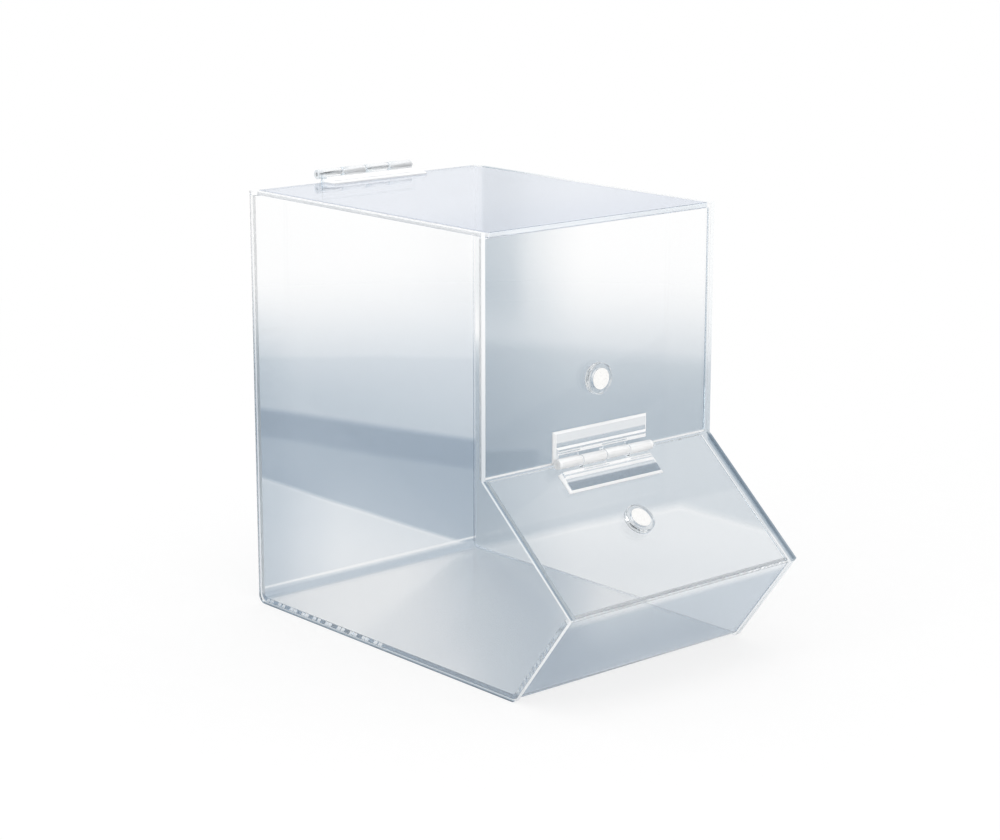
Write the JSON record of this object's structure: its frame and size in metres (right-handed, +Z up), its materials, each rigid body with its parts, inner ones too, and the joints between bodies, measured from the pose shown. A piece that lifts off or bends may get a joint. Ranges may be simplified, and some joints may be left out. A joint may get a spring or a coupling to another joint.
{
  "type": "bulk dispensing bin",
  "caption": "Clear acrylic bulk food bin with a hinged lid at the top, a slanted serving flap with magnetic catches, and a raised front lip.",
  "frame": {"origin": "middle of the footprint of the whole object's box, on the surface that the bin stands on", "axes": "+X to the bin's right as the picture shows it, -Y out of the serving front, +Z up"},
  "size_m": [0.184, 0.3006, 0.2735],
  "materials": {
    "clear_sheet": "polished clear acrylic sheet",
    "clear_moulding": "moulded clear plastic",
    "magnet_plate": "bright nickel plating"
  },
  "bodies": {
    "bin": {"side_left": "clear_sheet", "side_right": "clear_sheet", "shell": "clear_sheet", "front_panel": "clear_sheet", "flap_hinge_upper_leaf": "clear_moulding", "flap_hinge_pin": "clear_moulding", "lid_hinge_back_leaf": "clear_moulding", "lid_hinge_pin": "clear_moulding", "front_catch_cup": "clear_moulding", "front_catch_magnet": "magnet_plate"},
    "flap": {"flap": "clear_sheet", "flap_hinge_lower_leaf": "clear_moulding", "flap_catch_cup": "clear_moulding", "flap_catch_magnet": "magnet_plate"},
    "lid": {"lid": "clear_sheet", "lid_hinge_lid_leaf": "clear_moulding"}
  },
  "joints": [
    {"name": "flap_hinge", "type": "hinge", "parent": "bin", "child": "flap", "pos_m": [0, -0.07975, 0.1256], "axis": [-1, 0, 0], "range_deg": [0, 130.8]},
    {"name": "lid_hinge", "type": "hinge", "parent": "bin", "child": "lid", "pos_m": [0, 0.14725, 0.2705], "axis": [-1, 0, 0], "range_deg": [0, 270]}
  ]
}
